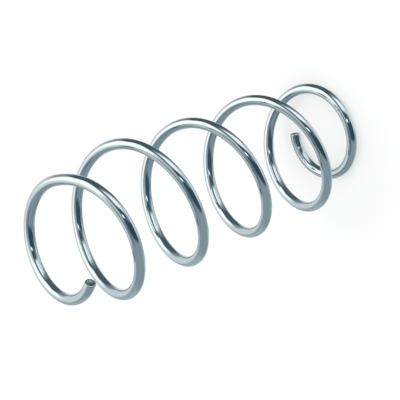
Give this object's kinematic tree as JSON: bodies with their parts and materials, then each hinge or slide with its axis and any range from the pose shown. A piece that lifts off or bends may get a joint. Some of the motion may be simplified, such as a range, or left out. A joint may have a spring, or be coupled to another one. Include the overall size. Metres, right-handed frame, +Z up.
{
  "type": "shock spring",
  "caption": "Right-hand coil spring of bright round wire for a car's suspension strut, with a flat pigtail coil at the foot and a smaller crown coil.",
  "frame": {"origin": "on the coil axis, in the plane that the flat pigtail coil stands on", "axes": "+Z runs up the coil axis from the pigtail to the crown; +X points to the pigtail's cut end"},
  "size_m": [0.1657, 0.164, 0.406],
  "materials": {
    "bright_steel": "polished, bright plated spring steel"
  },
  "bodies": {
    "root": {"coil_spring": "bright_steel"}
  },
  "joints": []
}
